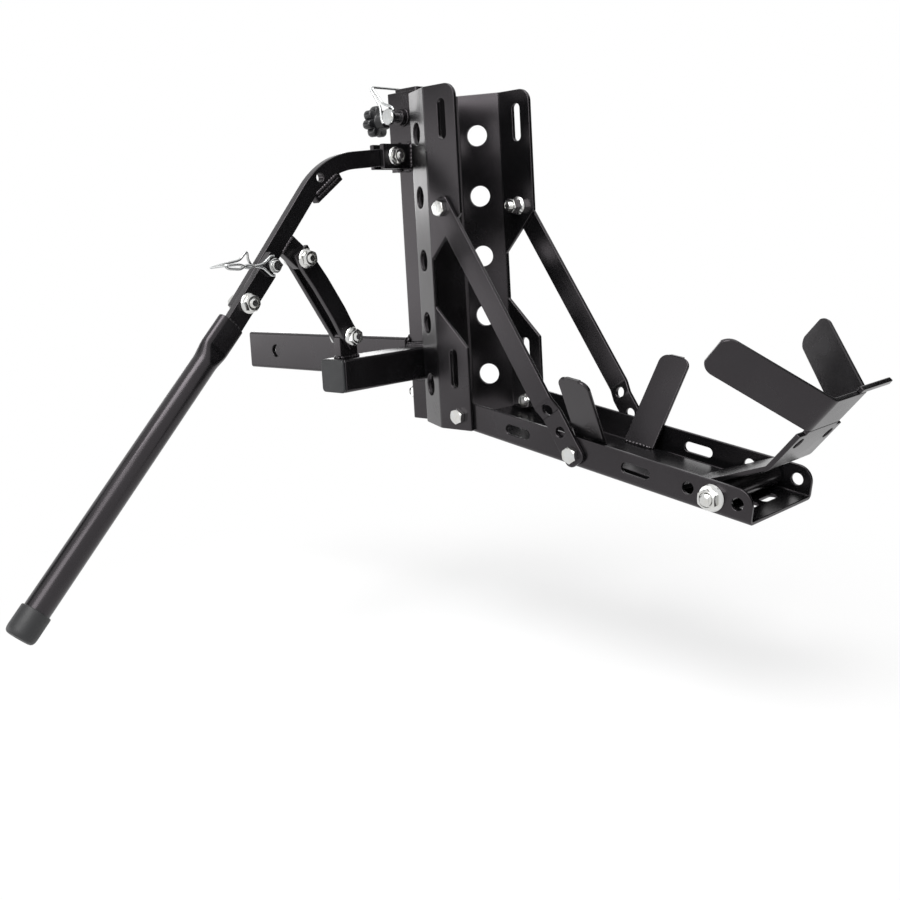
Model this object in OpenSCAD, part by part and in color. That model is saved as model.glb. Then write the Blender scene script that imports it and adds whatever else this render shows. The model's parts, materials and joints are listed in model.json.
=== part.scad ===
// Hitch motorcycle carrier: a 2 inch hitch bar and mast carry a lever-lifted carriage
// with a perforated wheel cradle, a tilted tray and a tipping wheel chock.
// Units mm. +X rearward, +Z up, origin on the hitch pin bore. The lever side is -Y.

/* [Hitch bar] */
// outside size of the square hitch bar
bar_size = 50.8; // [45:0.1:56]
// wall of the hitch bar
bar_wall = 6.35; // [4:0.05:8]
// bar length in front of the pin bore
bar_tail = 60; // [50:1:75]
// pin bore to mast centre
pin_to_mast = 281; // [260:1:320]
// hitch pin bore
pin_bore = 17; // [16.3:0.1:18]

/* [Mast and stub arm] */
// outside size of the square mast tube
mast_size = 38.1; // [36:0.1:40]
// wall of the mast tube
mast_wall = 4; // [3:0.1:5]
// mast top above the hitch bar centre, lock pin at 291
mast_top = 326; // [322:1:345]
// mast bottom below the hitch bar centre
mast_bottom = 76; // [70:1:90]
// outside size of the square stub arm
stub_size = 38.1; // [34:0.1:40]
// wall of the stub arm
stub_wall = 4; // [3:0.1:5]
// stub end from the mast centre line
stub_reach = 158; // [155:1:175]
// stub centre below the hitch bar centre
stub_drop = 4; // [1:0.5:6]
// thickness of the stub end cap
cap_t = 4; // [3:0.5:6]

/* [Carriage sleeve] */
// outside size of the sleeve
sleeve_size = 50.8; // [50:0.1:54]
// sleeve bottom above the hitch bar centre, lock pin at 291
sleeve_z = 227; // [222:1:230]
// sleeve height
sleeve_h = 94; // [90:1:97]
// clearance of the sleeve on the mast per side
slide_gap = 0.25; // [0.15:0.05:0.4]
// clevis plate thickness
clevis_t = 6.35; // [5:0.05:7]
// clevis plate height
clevis_h = 29; // [26:1:32]
// clevis plate length
clevis_len = 46; // [43:1:52]

/* [Wheel cradle plate] */
// plate thickness
v_t = 5; // [4:0.5:6]
// half width of the centre flat
flat_half = 40.6; // [38:0.1:43]
// bend line behind the mast centre
bend_x = 76.3; // [72:0.1:82]
// outer half width over the side flanges
side_half = 66.8; // [64:0.1:70]
// rear edge behind the mast centre
rear_x = 123.2; // [118:0.1:130]
// plate top above the hitch bar centre
v_top = 315; // [306:1:322]
// plate bottom below the hitch bar centre
v_bottom = 73.5; // [72:0.5:80]
// bend radius on the plate's centre line
v_bend = 8; // [6:0.5:10]
// web hole diameter
web_hole = 25; // [20:0.5:30]
// web hole pitch
web_pitch = 73; // [66:0.5:74]
// top web hole above the hitch bar centre
web_hole_z = 266; // [260:1:270]
// flange slot width
slot_w = 11; // [9:0.5:13]
// flange slot length
slot_len = 44; // [36:1:46]
// corner radius at the top of the flanges
v_corner = 15; // [10:1:18]

/* [Tray] */
// tray wall thickness
tray_t = 4; // [3:0.5:5]
// tray height
tray_h = 32.7; // [31:0.1:36]
// tray length behind its front bolts
tray_rear = 366; // [360:1:380]
// tray slope down to the rear in degrees
tray_tilt = 9.9; // [7:0.1:11]
// front bolt row above the tray bottom
row_h = 15.5; // [15:0.1:17]
// adjusting hole pitch
hole_pitch = 26.7; // [25:0.1:28]
// adjusting hole diameter
adj_hole = 12.5; // [11:0.5:14]
// chock pivot behind the front bolts
pivot_s = 323.7; // [320:0.1:328]

/* [Braces] */
// brace bar width
brace_w = 25.4; // [22:0.1:28]
// brace bar thickness
brace_t = 5; // [4:0.5:6]

/* [Wheel chock] */
// chock plate thickness
chock_t = 5; // [4:0.5:5.5]
// chock plate half width
chock_half = 43; // [42.8:0.1:45]
// front plate length from its front edge to the bend
chock_front = 123; // [114:1:126]
// bend radius on the chock plate's centre line
chock_bend = 9; // [6:0.5:12]
// rise of the rear leg in degrees
leg_rise = 27.3; // [26:0.1:28]
// rise of the back plate in degrees
back_rise = 57; // [52:0.5:60]
// back plate length
back_len = 91; // [86:0.1:94]
// wing length
wing_len = 115; // [105:1:120]
// wing bend out of the back plate in degrees
wing_bend = 54.5; // [50:0.5:60]
// half width between the wing bends
wing_root = 31; // [29:0.5:33]
// front tab length
tab_len = 110; // [100:1:116]
// front tab lean in degrees
tab_lean = 31.5; // [28:0.5:32]
// pivot tube outside diameter
pivot_tube = 23; // [21:0.1:23.4]

/* [Lever and link] */
// lever bar thickness
lever_t = 10; // [9:0.1:11]
// lever bar depth
lever_d = 20; // [18:0.5:22]
// lever bend radius
lever_bend = 100; // [90:1:110]
// link bar width
link_w = 22; // [20:0.5:25]
// link bar thickness
link_t = 6.35; // [5:0.05:7]
// bulge of the rear link bar between its ends
link_spread = 5; // [3:0.5:6]

/* [Handle] */
// handle tube outside diameter
tube_d = 26.4; // [24:0.1:27]
// handle tube wall
tube_wall = 2.5; // [2:0.1:3]
// hinge to foot end
handle_len = 394; // [370:1:410]
// handle bar thickness
grip_t = 9; // [8:0.1:10]
// handle bar depth
grip_d = 22; // [20:0.5:23]
// foot cap outside diameter
foot_d = 30.4; // [29:0.1:32]

/* [Fasteners and pins] */
// lever and link pivot bolt diameter
pivot_d = 10; // [9:0.1:11]
// guide bolt and chock pivot bolt diameter
m12 = 12; // [11.5:0.1:12.5]
// frame bolt diameter
m10 = 10; // [9.5:0.1:10.5]
// running clearance of the pivots, radial
run_gap = 0.05; // [0.03:0.01:0.08]
// side clearance between moving flat faces
face_gap = 0.35; // [0.3:0.05:0.5]
// lock pin diameter
lock_d = 12; // [11:0.1:12.5]
// lock pin height above the hitch bar centre
lock_z = 291; // [290:0.5:292]
// carriage travel on the mast
travel = 55; // [48:0.5:55]
// snap pin diameter
snap_d = 8; // [7:0.1:9]
// bail wire diameter
wire_d = 3; // [2.5:0.1:3.5]
// star knob outside diameter
knob_d = 40; // [36:0.5:44]

/* [Hidden] */
$fn = 48;
MX = pin_to_mast;
m_half = mast_size / 2;
s_half = sleeve_size / 2;
flat_x = s_half;
stub_y = -stub_reach;
// lever plane points as [y, z]
// the sleeve, the lever pivot and the mast top rise and fall with the lock pin
rise = lock_z - 291;
C = [-53, 244 + rise];
D = [-280.5, 89.7];
A = [-138.5, 39.5];
lever_a = 49;
lu = [cos(lever_a), sin(lever_a)];
ln = [sin(lever_a), -cos(lever_a)];
B_al = 86.3;
B_off = 35;
B = [D[0] + B_al * lu[0] + B_off * ln[0], D[1] + B_al * lu[1] + B_off * ln[1]];
// handle bar and handle tube slopes, tube axis offset from the hinge
grip_a = 47.3;
tube_a = 45.4;
tube_off = 1.6;
snap_r = 50.5;
first_a = 4.4;
lk = [A[0] - B[0], A[1] - B[1]];
link_len = norm(lk);
link_a = atan2(lk[1], lk[0]);
in_x = lever_t / 2 + face_gap;
clv_x = in_x + clevis_t;
lnk_x = in_x + link_t;
grip_in = lever_t / 2 + 0.3;
grip_x = grip_in + grip_t;
grip_c = grip_in + grip_t / 2;
snap = [D[0] + snap_r * cos(grip_a), D[1] + snap_r * sin(grip_a)];
// cradle plate section
web_a = atan2(side_half - flat_half, bend_x - flat_x);
// tray frame
TX = MX + 105.5;
TZ = -57;
tray_half = side_half - v_t;
tray_in = tray_half - tray_t;
tray_top = tray_h - row_h;
floor_h = tray_t - row_h;
// bend radius on the centre line of the tray sheet
tray_bend = 0.9 * tray_t;
// chock in the tray frame
chock_top = floor_h + 0.3 + chock_t;
piv_h = 0.45;
tube_r = pivot_tube / 2;
// the leg underside runs tangent over the pivot tube
leg_off = tube_r + chock_t;
bend_s = pivot_s - (leg_off / cos(leg_rise) - (chock_top - piv_h)) / tan(leg_rise);
front_s = bend_s - chock_front;
leg_len = 99.7;
back_s = bend_s + leg_len * cos(leg_rise);
back_h = chock_top + leg_len * sin(leg_rise);
notch_k = 46;
wing_k = 50;
tab_s1 = front_s + 3;
tab_w = 38;
tab_y = 37;
tab_t = 4.5;
// brace ends in the upright frame, bottom bolt in the tray frame
brace_top = [99.5, 178.5];
bb_h = -1.5;
// the lower bolt stands so far forward that the brace passes the chock tab with this gap
tab_gap = 0.96;
// height above the bolt where the tab crosses the brace
tab_cross = 27;
b_top = [(brace_top[0] - 105.5) * cos(tray_tilt) - (brace_top[1] - TZ) * sin(tray_tilt),
         (brace_top[0] - 105.5) * sin(tray_tilt) + (brace_top[1] - TZ) * cos(tray_tilt)];
function brace_room(s) = let (v = [s - b_top[0], b_top[1] - bb_h])
    (tab_cross * v[0] - brace_w / 2 * norm(v)) / v[1];
bb_0 = tab_s1 + brace_room(tab_s1) - tab_gap;
bb_s = tab_s1 + brace_room(bb_0) - tab_gap;
brace_bot = [105.5 + bb_s * cos(tray_tilt) + bb_h * sin(tray_tilt),
             TZ - bb_s * sin(tray_tilt) + bb_h * cos(tray_tilt)];
bv = [brace_bot[0] - brace_top[0], brace_bot[1] - brace_top[1]];
brace_len = norm(bv);
brace_a = atan2(-bv[1], bv[0]);
jog = side_half - tray_half;
jog_at = brace_len - 62;
lock_head = 46;
bail_r = 46;
bail_dir = 127;
// reach and direction of the snap pin bail
snap_reach = 62;
snap_dir = 176;

function dirx(a) = [cos(a), sin(a)];

function unit(v) = v / norm(v);
function left(v) = [-v[1], v[0]];
// one side of a bent strip: path pts, bend radius r on the path, offset o to the left
function strip_side(pts, r, o, n = 6) = concat(
    [pts[0] + o * left(unit(pts[1] - pts[0]))],
    [for (i = [1 : 1 : len(pts) - 2])
        let (d1 = unit(pts[i] - pts[i - 1]), d2 = unit(pts[i + 1] - pts[i]),
             phi = atan2(d1[0] * d2[1] - d1[1] * d2[0], d1 * d2), sg = sign(phi),
             from = pts[i] - r * tan(abs(phi) / 2) * d1, mid = from + sg * r * left(d1),
             a1 = atan2(d1[1], d1[0]))
        for (j = [0 : n]) mid - sg * (r - sg * o) * left([cos(a1 + phi * j / n), sin(a1 + phi * j / n)])],
    [pts[len(pts) - 1] + o * left(unit(pts[len(pts) - 1] - pts[len(pts) - 2]))]);
function strip(pts, r, t, n = 6) = let (b = strip_side(pts, r, -t / 2, n))
    concat(strip_side(pts, r, t / 2, n), [for (i = [len(b) - 1 : -1 : 0]) b[i]]);

module rod(p, q, d) {
    v = q - p;
    l = norm(v);
    translate(p) rotate([0, acos(v[2] / l), atan2(v[1], v[0])]) cylinder(h = l, d = d, $fn = 24);
}
// bent wire: straight rods with a slightly fuller ball at each corner
module wire(pts, d, first = true) {
    for (i = [0 : len(pts) - 2]) rod(pts[i], pts[i + 1], d);
    for (i = [first ? 0 : 1 : len(pts) - 1]) translate(pts[i]) sphere(d = d + 0.4, $fn = 24);
}
module rsq(w, h, r) {
    square([w - 2 * r, h], center = true);
    square([w, h - 2 * r], center = true);
    for (x = [-1, 1], y = [-1, 1]) translate([x * (w / 2 - r), y * (h / 2 - r)]) circle(r, $fn = 32);
}
module tube_sq(w, wall, l) {
    linear_extrude(l) difference() {
        rsq(w, w, 4);
        square(w - 2 * wall, center = true);
    }
}
// cylinder along X or Y centred on a lever plane point
module xcyl(y, z, x1, x2, d) translate([MX + x1, y, z]) rotate([0, 90, 0]) cylinder(h = x2 - x1, d = d);
module hexx(y, z, x1, x2, af) translate([MX + x1, y, z]) rotate([0, 90, 0])
    cylinder(h = x2 - x1, d = af / cos(30), $fn = 6);
// pivot bolt through two faces: head outside x1, shank end past x2
module pivot_bolt_x(p, x1, x2) {
    xcyl(p[0], p[1], x1, x2 + 11, pivot_d);
    hexx(p[0], p[1], x1 - 6.4, x1, 16);
}
module flange_nut_x(p, xo) difference() {
    union() {
        xcyl(p[0], p[1], xo, xo + 2.5, 22);
        hexx(p[0], p[1], xo + 2.5, xo + 9.5, 16);
    }
    xcyl(p[0], p[1], xo - 1, xo + 12, pivot_d + 2 * run_gap);
}
// tray frame and Y cylinders inside it
module tray_frame() translate([TX, 0, TZ]) rotate([0, tray_tilt, 0]) children();
module ycyl(s, h, y1, y2, d) translate([s, y1, h]) rotate([-90, 0, 0]) cylinder(h = y2 - y1, d = d);
module yhex(s, h, y1, y2, af) translate([s, y1, h]) rotate([-90, 0, 0])
    cylinder(h = y2 - y1, d = af / cos(30), $fn = 6);
module yslot(s, h, l, w, y1, y2) {
    ycyl(s - (l - w) / 2, h, y1, y2, w);
    ycyl(s + (l - w) / 2, h, y1, y2, w);
    translate([s - (l - w) / 2, y1, h - w / 2]) cube([l - w, y2 - y1, w]);
}
module zslot(x, z, l, w, y1, y2) {
    ycyl(x, z - (l - w) / 2, y1, y2, w);
    ycyl(x, z + (l - w) / 2, y1, y2, w);
    translate([x - w / 2, y1, z - (l - w) / 2]) cube([w, y2 - y1, l - w]);
}
module ybolt(s, h, sd, y_out, y_in, af, hd) {
    if (sd < 0) {
        ycyl(s, h, -y_out, -y_in, m10);
        yhex(s, h, -y_out - hd, -y_out, af);
    } else {
        ycyl(s, h, y_in, y_out, m10);
        yhex(s, h, y_out, y_out + hd, af);
    }
}
module ynut(s, h, sd, y_face, af, th, fl) difference() {
    union() {
        if (fl > 0) ycyl(s, h, sd > 0 ? y_face - 2 : -y_face, sd > 0 ? y_face : -y_face + 2, fl);
        yhex(s, h, sd > 0 ? y_face - th : -y_face, sd > 0 ? y_face : -y_face + th, af);
    }
    ycyl(s, h, sd > 0 ? y_face - th - 1 : -y_face - 1, sd > 0 ? y_face + 1 : -y_face + th + 1,
        m10 + 2 * run_gap);
}

// root: hitch bar, mast, stub arm
module hitch_bar() color("#26262a") difference() {
    translate([-bar_tail, 0, 0]) rotate([90, 0, 90]) tube_sq(bar_size, bar_wall, bar_tail + MX - m_half);
    ycyl(0, 0, -bar_size, bar_size, pin_bore);
}
module mast() color("#2a2a2e") difference() {
    translate([MX, 0, -mast_bottom]) tube_sq(mast_size, mast_wall, mast_top + rise + mast_bottom);
    zslot(MX, lock_z - travel / 2, travel + lock_d + 0.8, lock_d + 0.8, -m_half - 1, m_half + 1);
    xcyl(0, -46, -m_half - 1, m_half + 1, m12 + 2 * run_gap);
}
module stub_arm() color("#222226") translate([MX, stub_y, -stub_drop]) rotate([-90, 0, 0])
    tube_sq(stub_size, stub_wall, stub_reach - m_half);
module stub_end_cap() color("#3a3a3e") translate([MX, stub_y - cap_t, -stub_drop]) rotate([-90, 0, 0])
    linear_extrude(cap_t) rsq(stub_size, stub_size, 5);
module stub_link_bracket() color("#222226") difference() {
    union() {
        translate([MX - lever_t / 2, A[0] - 13, stub_size / 2 - stub_drop])
            cube([lever_t, 26, A[1] - stub_size / 2 + stub_drop]);
        xcyl(A[0], A[1], -lever_t / 2, lever_t / 2, 25);
    }
    xcyl(A[0], A[1], -10, 10, pivot_d + 2 * run_gap);
}
module link_foot_bolt() color("#c9ccd0") pivot_bolt_x(A, -lnk_x - 0.2, lnk_x + 0.2);
module link_foot_nut() color("#c9ccd0") flange_nut_x(A, lnk_x + 0.2);
module guide_bolt() color("#c9ccd0") {
    xcyl(0, -46, -m_half - 19, flat_x + v_t + 2.6, m12);
    hexx(0, -46, flat_x + v_t + 2.6, flat_x + v_t + 10, 18);
}
module guide_washers() color("#b9bcc0") {
    difference() {
        xcyl(0, -46, m_half, flat_x - 0.3, 26);
        xcyl(0, -46, 0, 40, m12 + 2 * run_gap);
    }
    difference() {
        xcyl(0, -46, flat_x + v_t + 0.3, flat_x + v_t + 2.6, 26);
        xcyl(0, -46, 0, 60, m12 + 2 * run_gap);
    }
}
module guide_nut() color("#c9ccd0") difference() {
    union() {
        xcyl(0, -46, -m_half - 3, -m_half, 26);
        hexx(0, -46, -m_half - 12, -m_half - 3, 18);
    }
    xcyl(0, -46, -60, 0, m12 + 2 * run_gap);
}

// carriage
module sleeve() color("#2a2a2e") difference() {
    translate([MX, 0, sleeve_z + rise]) linear_extrude(sleeve_h) difference() {
        rsq(sleeve_size, sleeve_size, 3);
        square(mast_size + 2 * slide_gap, center = true);
    }
    ycyl(MX, lock_z, -s_half - 1, s_half + 1, lock_d + 2 * run_gap);
    xcyl(0, lock_z + 3, -s_half - 1, 0, m10 + 2 * run_gap);
}
module clevis_plates() color("#202024") for (sd = [-1, 1]) difference() {
    translate([MX + (sd > 0 ? in_x : -clv_x), -s_half - clevis_len, C[1] - clevis_h / 2])
        cube([clevis_t, clevis_len, clevis_h]);
    xcyl(C[0], C[1], -40, 40, pivot_d + 2 * run_gap);
}
module lever_pivot_bolt() color("#c9ccd0") pivot_bolt_x(C, -clv_x, clv_x);
module lever_pivot_nut() color("#c9ccd0") flange_nut_x(C, clv_x);
module lock_pin_bush() color("#202024") difference() {
    ycyl(MX, lock_z, -s_half - 8, -s_half, 19);
    ycyl(MX, lock_z, -80, 0, lock_d + 2 * run_gap);
}
module lock_pin() color("#d2d5d8") {
    ycyl(MX, lock_z, -lock_head, s_half + 15, lock_d);
    ycyl(MX, lock_z, -lock_head - 5, -lock_head, 19);
}
module lock_pin_bail() color("#d2d5d8") {
    u = dirx(bail_dir);
    e = [u[1], -u[0]];
    y0 = -lock_head - 2.5;
    y1 = s_half + 11;
    r0 = 9.5 + 0.6 + wire_d / 2;
    r1 = lock_d / 2 + 0.6 + wire_d / 2;
    for (k = [-1, 1]) wire([
        [MX + k * r0 * e[0], y0, lock_z + k * r0 * e[1]],
        [MX + u[0] * 5 + k * r0 * e[0], y0, lock_z + u[1] * 5 + k * r0 * e[1]],
        [MX + u[0] * 18 + k * 3.4 * e[0], y0, lock_z + u[1] * 18 + k * 3.4 * e[1]],
        [MX + u[0] * bail_r + k * 3.4 * e[0], y0, lock_z + u[1] * bail_r + k * 3.4 * e[1]]], wire_d);
    rod([MX + u[0] * bail_r - 3.4 * e[0], y0, lock_z + u[1] * bail_r - 3.4 * e[1]],
        [MX + u[0] * bail_r + 3.4 * e[0], y0, lock_z + u[1] * bail_r + 3.4 * e[1]], wire_d);
    wire(first = false, pts = [[MX + u[0] * bail_r, y0, lock_z + u[1] * bail_r],
          [MX + u[0] * bail_r, y1, lock_z + u[1] * bail_r],
          [MX + u[0] * r1, y1, lock_z + u[1] * r1]], d = wire_d);
}
module knob_nut() color("#c9ccd0") difference() {
    hexx(0, lock_z + 3, -s_half - 10, -s_half, 18);
    xcyl(0, lock_z + 3, -60, 0, m10 + 2 * run_gap);
}
module knob_screw() color("#c9ccd0") xcyl(0, lock_z + 3, -66, -m_half - 0.4, m10);
module star_knob() color("#17171a") difference() {
    union() {
        xcyl(0, lock_z + 3, -80, -66, knob_d - 12);
        xcyl(0, lock_z + 3, -66, -54, 20);
        for (i = [0 : 6]) let (a = i * 360 / 7, r = knob_d / 2 - 6.5)
            xcyl(r * cos(a), lock_z + 3 + r * sin(a), -79, -67, 13);
    }
    xcyl(0, lock_z + 3, -66, 0, m10 + 2 * run_gap);
}
function web_pt(x) = flat_half + (x - flat_x) * tan(web_a);
// centre line of the bent cradle plate
v_line = let (hx = v_t / 2 * tan((90 - web_a) / 2), hy = v_t / 2 * tan(web_a / 2)) [
    [rear_x, side_half - v_t / 2], [bend_x + hy, side_half - v_t / 2],
    [flat_x + v_t / 2, flat_half - hx], [flat_x + v_t / 2, -flat_half + hx],
    [bend_x + hy, -side_half + v_t / 2], [rear_x, -side_half + v_t / 2]];
module v_section() polygon(strip(v_line, v_bend, v_t));
module v_plate() color("#2e2e33") difference() {
    translate([MX, 0, -v_bottom]) linear_extrude(v_top + v_bottom) v_section();
    // web holes
    for (sd = [-1, 1], i = [0 : 4]) translate([MX + 49, sd * web_pt(49), web_hole_z - i * web_pitch])
        rotate([0, 0, sd * web_a]) rotate([90, 0, 0]) cylinder(h = 30, d = web_hole, center = true);
    // flange slots
    zslot(MX + 103, v_top - 38, slot_len, slot_w, -100, 100);
    zslot(MX + 101, -3, slot_len, slot_w, -100, 100);
    // middle cut outs
    translate([MX, 100, 0]) rotate([90, 0, 0]) linear_extrude(200) polygon([[rear_x + 5, 177],
        [bend_x + 1, 122], [bend_x + 1, 67.6], [rear_x + 5, 16]]);
    // rounded top corners
    difference() {
        translate([MX + rear_x - v_corner, -100, v_top - v_corner]) cube([v_corner + 1, 200, v_corner + 1]);
        ycyl(MX + rear_x - v_corner, v_top - v_corner, -101, 101, 2 * v_corner);
    }
    // guide slot
    translate([MX, 0, 0]) for (z = [-46, -46 + travel]) translate([0, 0, z]) rotate([0, 90, 0])
        cylinder(h = 60, d = m12 + 1);
    translate([MX, -m12 / 2 - 0.5, -46]) cube([60, m12 + 1, travel]);
    // bolt holes
    ycyl(MX + brace_top[0], brace_top[1], -100, 100, m10 + 2 * run_gap);
    tray_frame() ycyl(0, 0, -100, 100, m10 + 2 * run_gap);
}
module tray() color("#2b2b30") tray_frame() difference() {
    translate([-22, 0, 0]) rotate([90, 0, 90]) linear_extrude(tray_rear + 22) polygon(strip([
        [-tray_half + tray_t / 2, tray_top], [-tray_half + tray_t / 2, -row_h + tray_t / 2],
        [tray_half - tray_t / 2, -row_h + tray_t / 2], [tray_half - tray_t / 2, tray_top]], tray_bend, tray_t));
    // rounded rear top corners
    difference() {
        translate([tray_rear - 16, -100, tray_top - 16]) cube([17, 200, 17]);
        ycyl(tray_rear - 16, tray_top - 16, -101, 101, 32);
    }
    ycyl(0, 0, -100, 100, m10 + 2 * run_gap);
    ycyl(bb_s, bb_h, -100, 100, m10 + 2 * run_gap);
    ycyl(pivot_s, piv_h, -100, 100, m12 + 2 * run_gap);
    for (k = [-1, 1]) ycyl(pivot_s + k * hole_pitch, 2, -100, 100, adj_hole);
    yslot(82.6, 1.5, 34, 11, -100, 100);
    yslot(pivot_s - 87.3, 1.5, 34, 11, -100, 100);
    for (sd = [-1, 1], k = [-1, 1]) translate([tray_rear - 24, sd * 19 + k * 10, -30]) cylinder(h = 30, d = 9);
    for (sd = [-1, 1]) translate([tray_rear - 28.5, sd * 19 - 10, -30]) cube([9, 20, 30]);
}
module brace(sd) color("#303036") translate([MX + brace_top[0], 0, brace_top[1]]) rotate([0, brace_a, 0])
    difference() {
        translate([0, 0, -brace_w / 2]) linear_extrude(brace_w)
            polygon([for (p = strip([[-12, side_half + brace_t / 2], [jog_at, side_half + brace_t / 2],
                [jog_at + 14, tray_half + brace_t / 2], [brace_len + 12, tray_half + brace_t / 2]], 12, brace_t))
                [p[0], sd * p[1]]]);
        ycyl(0, 0, -120, 120, m10 + 2 * run_gap);
        ycyl(brace_len, 0, -120, 120, m10 + 2 * run_gap);
        for (k = [1, 2]) ycyl(brace_len - k * hole_pitch, 0, -120, 120, adj_hole - 1);
    }
module brace_near() brace(-1);
module brace_far() brace(1);
module brace_bolts() color("#c9ccd0") for (sd = [-1, 1]) {
    ybolt(MX + brace_top[0], brace_top[1], sd, side_half + brace_t, side_half - v_t - 19.5, 16, 6.4);
    tray_frame() ybolt(bb_s, bb_h, sd, tray_half + brace_t, tray_in - 9, 16, 6.4);
}
module brace_nuts() color("#c9ccd0") for (sd = [-1, 1]) {
    ynut(MX + brace_top[0], brace_top[1], sd, side_half - v_t, 16, 15, 22);
    tray_frame() ynut(bb_s, bb_h, sd, tray_in, 16, 7, 0);
}
module tray_bolts() color("#c9ccd0") tray_frame() for (sd = [-1, 1])
    ybolt(0, 0, sd, side_half, tray_in - 10.8, 16, 6.4);
module tray_nuts() color("#c9ccd0") tray_frame() for (sd = [-1, 1]) ynut(0, 0, sd, tray_in, 16, 10, 19);
module chock_pivot_bolt() color("#c9ccd0") tray_frame() {
    ycyl(pivot_s, piv_h, -tray_half - 15, tray_half, m12);
    yhex(pivot_s, piv_h, tray_half + 3, tray_half + 11, 18);
    ycyl(pivot_s, piv_h, tray_half, tray_half + 3, 26);
}
module chock_pivot_nut() color("#c9ccd0") tray_frame() difference() {
    union() {
        ycyl(pivot_s, piv_h, -tray_half - 3, -tray_half, 27);
        yhex(pivot_s, piv_h, -tray_half - 11.5, -tray_half - 3, 18);
    }
    ycyl(pivot_s, piv_h, -tray_half - 30, 0, m12 + 2 * run_gap);
}

// tipping wheel chock
module chock_plate() color("#3a3a40") tray_frame() difference() {
    translate([0, chock_half, 0]) rotate([90, 0, 0]) linear_extrude(2 * chock_half) {
        hd = chock_t / 2;
        b1 = hd * tan(leg_rise / 2);
        b2 = hd * tan((back_rise - leg_rise) / 2);
        polygon(strip([[front_s, chock_top - hd], [bend_s + b1, chock_top - hd],
            [back_s + hd * sin(leg_rise) + b2 * cos(leg_rise), back_h - hd * cos(leg_rise) + b2 * sin(leg_rise)],
            [back_s + wing_k * cos(back_rise) + hd * sin(back_rise),
             back_h + wing_k * sin(back_rise) - hd * cos(back_rise)]],
            chock_bend, chock_t));
    }
    translate([back_s, 0, back_h]) rotate([0, -back_rise, 0]) {
        for (sd = [-1, 1]) translate([notch_k, sd > 0 ? wing_root : -chock_half - 1, -chock_t - 1])
            cube([wing_k - notch_k + 1, chock_half + 1 - wing_root, chock_t + 2]);
        for (sd = [-1, 1]) translate([34, sd * 30, -10]) cylinder(h = 20, d = 12);
    }
}
module wing_section() {
    w = wing_bend;
    hd = chock_t / 2;
    m = wing_root + hd * tan(w / 2);
    tip = [m + wing_len * cos(w), -hd + wing_len * sin(w)];
    polygon(strip([[tip[0], tip[1]], [m, -hd], [-m, -hd], [-tip[0], tip[1]]], chock_bend, chock_t));
}
module back_frame() tray_frame() translate([back_s, 0, back_h]) rotate([0, -back_rise, 0]) children();
module chock_wings() color("#3a3a40") back_frame() difference() {
    translate([wing_k, 0, 0]) rotate([90, 0, 90]) linear_extrude(back_len - wing_k) wing_section();
    // rounded wing ends
    for (sd = [-1, 1]) translate([0, sd * wing_root, 0]) rotate([sd * wing_bend, 0, 0])
        for (k = [0, 1]) difference() {
            translate([k ? back_len - 14 : wing_k - 1, sd > 0 ? wing_len - 14 : -wing_len - 1, -20])
                cube([15, 15, 40]);
            translate([k ? back_len - 14 : wing_k + 14, sd * (wing_len - 14), -21]) cylinder(h = 42, r = 14);
        }
}
module chock_lug() color("#3a3a40") back_frame()
    translate([back_len, 14, -chock_t]) cube([6, 66, chock_t]);
module chock_tabs() color("#3a3a40") tray_frame() for (sd = [-1, 1]) difference() {
    translate([tab_s1, 0, chock_top]) rotate([90, 0, 90]) linear_extrude(tab_w)
        polygon([for (p = [[tab_y, 0], [tab_y + tab_t / cos(tab_lean), 0],
            [tab_y + tab_t / cos(tab_lean) + tab_len * sin(tab_lean), tab_len * cos(tab_lean)],
            [tab_y + tab_len * sin(tab_lean), tab_len * cos(tab_lean)]]) [sd * p[0], p[1]]]);
    translate([tab_s1, sd * tab_y, chock_top]) rotate([-sd * tab_lean, 0, 0]) for (k = [0, 1]) difference() {
        translate([k ? tab_w - 10 : -1, -20, tab_len - 10]) cube([11, 40, 20]);
        translate([k ? tab_w - 10 : 10, -21, tab_len - 10]) rotate([-90, 0, 0]) cylinder(h = 42, r = 10);
    }
}
module chock_pivot_tube() color("#2e2e33") tray_frame() difference() {
    tube_half = tray_in - tray_bend + tray_t / 2 - 0.6;
    ycyl(pivot_s, piv_h, -tube_half, tube_half, pivot_tube - 0.06);
    ycyl(pivot_s, piv_h, -100, 100, m12 + 2 * run_gap);
}

// lever, link, handle
f1 = [cos(180 + first_a), sin(180 + first_a)];
// corner of the two lever centre lines
k1 = ((C[0] - D[0]) * lu[1] - (C[1] - D[1]) * lu[0]) / (f1[1] * lu[0] - f1[0] * lu[1]);
corner = [C[0] + k1 * f1[0], C[1] + k1 * f1[1]];
turn = lever_a - first_a;
tan_len = lever_bend * tan(turn / 2);
arc_a = [corner[0] - tan_len * f1[0], corner[1] - tan_len * f1[1]];
arc_c = [arc_a[0] + lever_bend * sin(first_a), arc_a[1] - lever_bend * cos(first_a)];
module yz() rotate([90, 0, 90]) children();
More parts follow.
